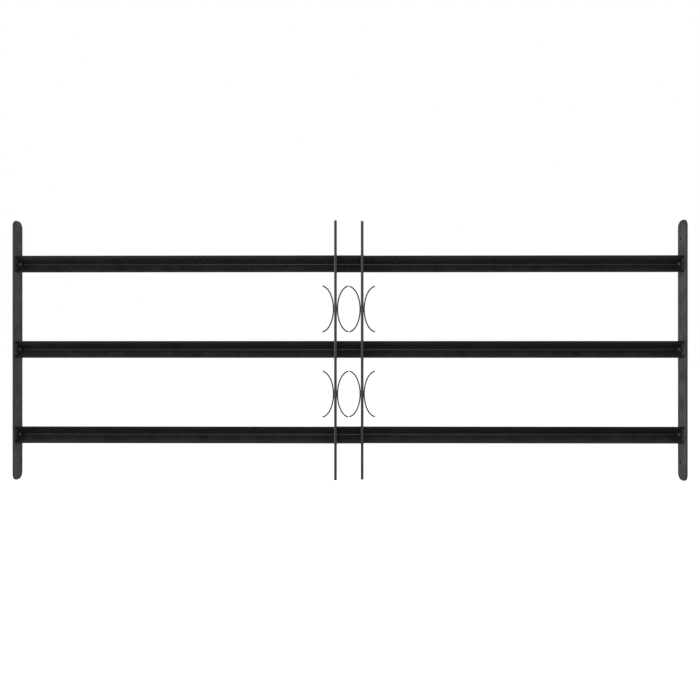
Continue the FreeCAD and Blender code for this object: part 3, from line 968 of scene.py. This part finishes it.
class WINDOWBAR_OT_stage(bpy.types.Operator):
    """Camera, pale floor, white surround and soft lights"""
    bl_idname = "window_bar.stage"
    bl_label = "Stage"

    def execute(self, context):
        studio = settings("studio")
        low, high = CAD_BOX
        middle = Vector(((low.x + high.x) / 2, 0.0, 0.0))

        aim = middle + Vector((studio.aim_right, 0.0, studio.aim_up))
        back = Vector((math.sin(studio.turn), -math.cos(studio.turn), 0.0))
        data = bpy.data.cameras.new("Camera")
        data.sensor_width = 36.0
        data.lens = studio.lens
        camera = bpy.data.objects.new("Camera", data)
        context.scene.collection.objects.link(camera)
        camera.location = aim + back * studio.distance
        camera.rotation_euler = (-back).to_track_quat("-Z", "Y").to_euler()
        context.scene.camera = camera

        self.make_floor(context, middle, low.z - studio.floor_drop, studio.floor_glow)
        self.make_surround(context, studio.surround)
        for name, away, power in (("Key light", (-2.7, -0.8, 0.4), studio.key_power),
                                  ("Fill light", (2.7, -0.8, 0.4), studio.fill_power),
                                  ("Front light", (0.0, -2.2, 0.1), studio.front_power)):
            soft_light(name, middle + Vector(away), middle, studio.light_size, power)
        context.scene.view_settings.view_transform = "Standard"
        return {"FINISHED"}

    def make_floor(self, context, middle, height, glow):
        """A wide pale disc below the bar."""
        mesh = bpy.data.meshes.new("floor")
        work = bmesh.new()
        bmesh.ops.create_circle(work, cap_ends=True, segments=96, radius=30.0)
        work.to_mesh(mesh)
        work.free()
        floor = bpy.data.objects.new("floor", mesh)
        floor.location = (middle.x, middle.y, height)
        context.scene.collection.objects.link(floor)
        material = bpy.data.materials.new("Pale floor")
        material.use_nodes = True
        tree = material.node_tree
        shader = tree.nodes["Principled BSDF"]
        shader.inputs["Base Color"].default_value = (0.6, 0.6, 0.6, 1.0)
        shader.inputs["Roughness"].default_value = 0.9
        shader.inputs["Specular IOR Level"].default_value = 0.2
        seen = tree.nodes.new("ShaderNodeLightPath").outputs["Is Camera Ray"]
        shader.inputs["Emission Color"].default_value = (1.0, 1.0, 1.0, 1.0)
        join(tree, arithmetic(tree, "MULTIPLY", seen, glow), shader.inputs["Emission Strength"])
        mesh.materials.append(material)

    def make_surround(self, context, strength):
        """An even white surround that the camera sees as plain white."""
        world = bpy.data.worlds.new("Surround")
        context.scene.world = world
        world.use_nodes = True
        tree = world.node_tree
        background = tree.nodes["Background"]
        background.inputs["Color"].default_value = (1.0, 1.0, 1.0, 1.0)
        seen = tree.nodes.new("ShaderNodeLightPath").outputs["Is Camera Ray"]
        level = arithmetic(tree, "MULTIPLY_ADD", seen, 1.0 - strength, strength)
        join(tree, level, background.inputs["Strength"])


class WINDOWBAR_PT_panel(bpy.types.Panel):
    """Buttons for each group of pieces"""
    bl_idname = "WINDOWBAR_PT_panel"
    bl_label = "Window bar"
    bl_space_type = "VIEW_3D"
    bl_region_type = "UI"
    bl_category = "Window bar"

    def draw(self, context):
        for name in SETTINGS:
            box = self.layout.box()
            group = settings(name)
            for key in group.bl_rna.properties.keys():
                if key not in ("name", "rna_type"):
                    box.prop(group, key)
        for operator in OPERATORS:
            self.layout.operator(operator.bl_idname)


SETTINGS = {"coat": BarCoatSettings, "section": BarSectionSettings, "welds": BarWeldSettings,
            "screws": BarScrewSettings, "studio": BarStudioSettings}
OPERATORS = (WINDOWBAR_OT_stage, WINDOWBAR_OT_wall_strips, WINDOWBAR_OT_angle_bars,
             WINDOWBAR_OT_tie_rods, WINDOWBAR_OT_scrolls, WINDOWBAR_OT_guides,
             WINDOWBAR_OT_screws, WINDOWBAR_OT_welds)


def register():
    """Register the settings, operators and panel."""
    for name, group in SETTINGS.items():
        bpy.utils.register_class(group)
        setattr(bpy.types.Scene, f"window_bar_{name}", PointerProperty(type=group))
    for operator in OPERATORS:
        bpy.utils.register_class(operator)
    bpy.utils.register_class(WINDOWBAR_PT_panel)


def unregister():
    """Undo register."""
    bpy.utils.unregister_class(WINDOWBAR_PT_panel)
    for operator in reversed(OPERATORS):
        bpy.utils.unregister_class(operator)
    for name, group in SETTINGS.items():
        delattr(bpy.types.Scene, f"window_bar_{name}")
        bpy.utils.unregister_class(group)


def main():
    """Build the looks."""
    register()
    build_groups()
    for operator in OPERATORS:
        family, action = operator.bl_idname.split(".")
        getattr(getattr(bpy.ops, family), action)()


if __name__ == "__main__":
    main()
